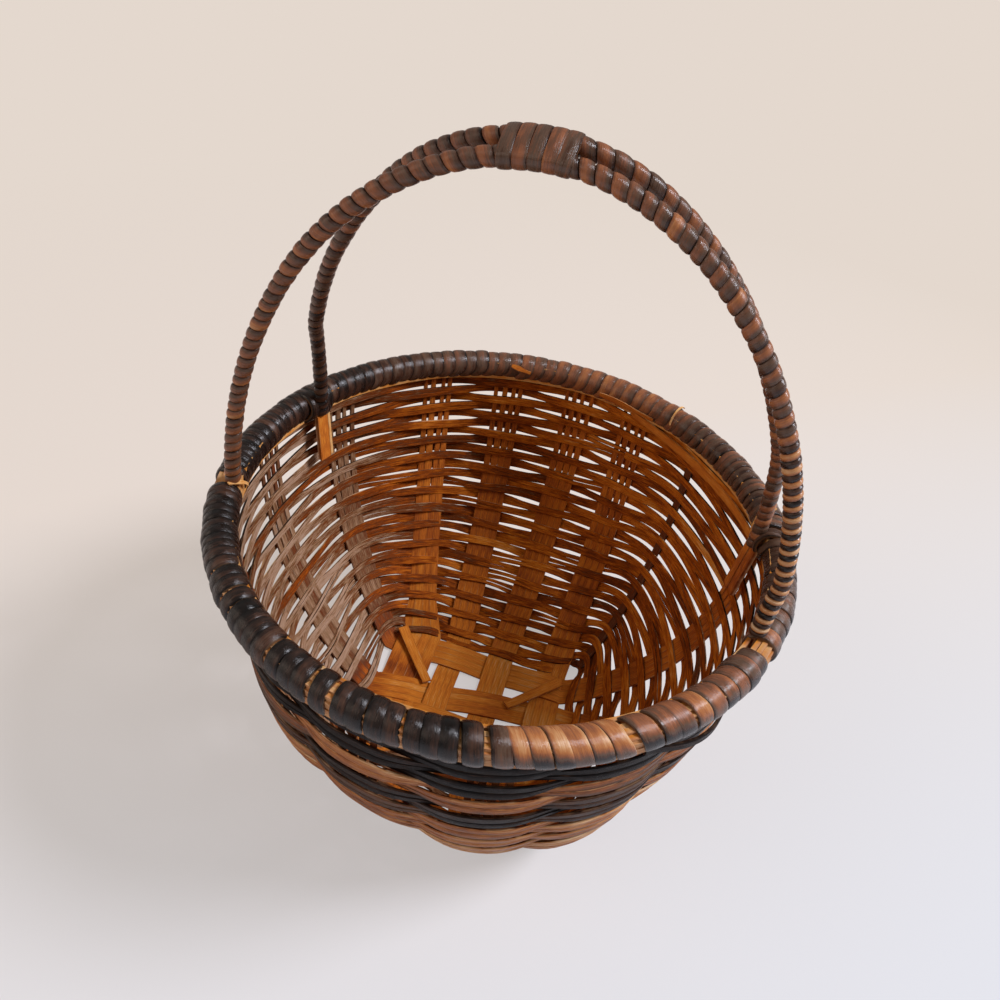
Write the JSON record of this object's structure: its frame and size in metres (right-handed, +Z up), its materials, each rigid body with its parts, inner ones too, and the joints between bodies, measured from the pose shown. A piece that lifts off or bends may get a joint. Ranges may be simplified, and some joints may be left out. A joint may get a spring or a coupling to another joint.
{
  "type": "wicker basket",
  "caption": "Small round hand-woven splint basket on a square mat, with a lashed rim and a fixed arched handle of wrapped rods bound together at the top.",
  "frame": {"origin": "on the ground, under the middle of the rim", "axes": "+X towards the right feet of the handle, +Y towards the rear of the basket, +Z up"},
  "size_m": [0.2002, 0.2082, 0.2386],
  "materials": {
    "splint": "satin",
    "odd_stake": "satin",
    "weaver_tan": "satin",
    "weaver_red_brown": "satin",
    "weaver_grey_brown": "satin",
    "weaver_black": "satin",
    "hoop": "satin",
    "lashing_black": "satin",
    "lashing_grey": "satin",
    "lashing_red_brown": "satin",
    "rod": "satin",
    "rod_wrap": "satin",
    "binding": "satin",
    "brace": "satin"
  },
  "bodies": {
    "root": {"front_rear_splint_1": "splint", "front_rear_splint_2": "splint", "front_rear_splint_3": "splint", "front_rear_splint_4": "splint", "left_right_splint_1": "splint", "left_right_splint_2": "splint", "left_right_splint_3": "splint", "odd_stake": "odd_stake", "weaver_1": "weaver_tan", "weaver_2": "weaver_tan", "weaver_3": "weaver_red_brown", "weaver_4": "weaver_red_brown", "weaver_5": "weaver_grey_brown", "weaver_6": "weaver_black", "inner_rim_hoop": "hoop", "outer_rim_hoop": "hoop", "rim_lashing_front": "lashing_black", "rim_lashing_right": "lashing_grey", "rim_lashing_rear": "lashing_red_brown", "rim_lashing_left": "lashing_black", "front_handle_rod": "rod", "rear_handle_rod": "rod", "front_rod_wrap": "rod_wrap", "rear_rod_wrap": "rod_wrap", "top_binding": "binding", "left_brace_strip": "brace", "right_brace_strip": "brace"}
  },
  "joints": []
}
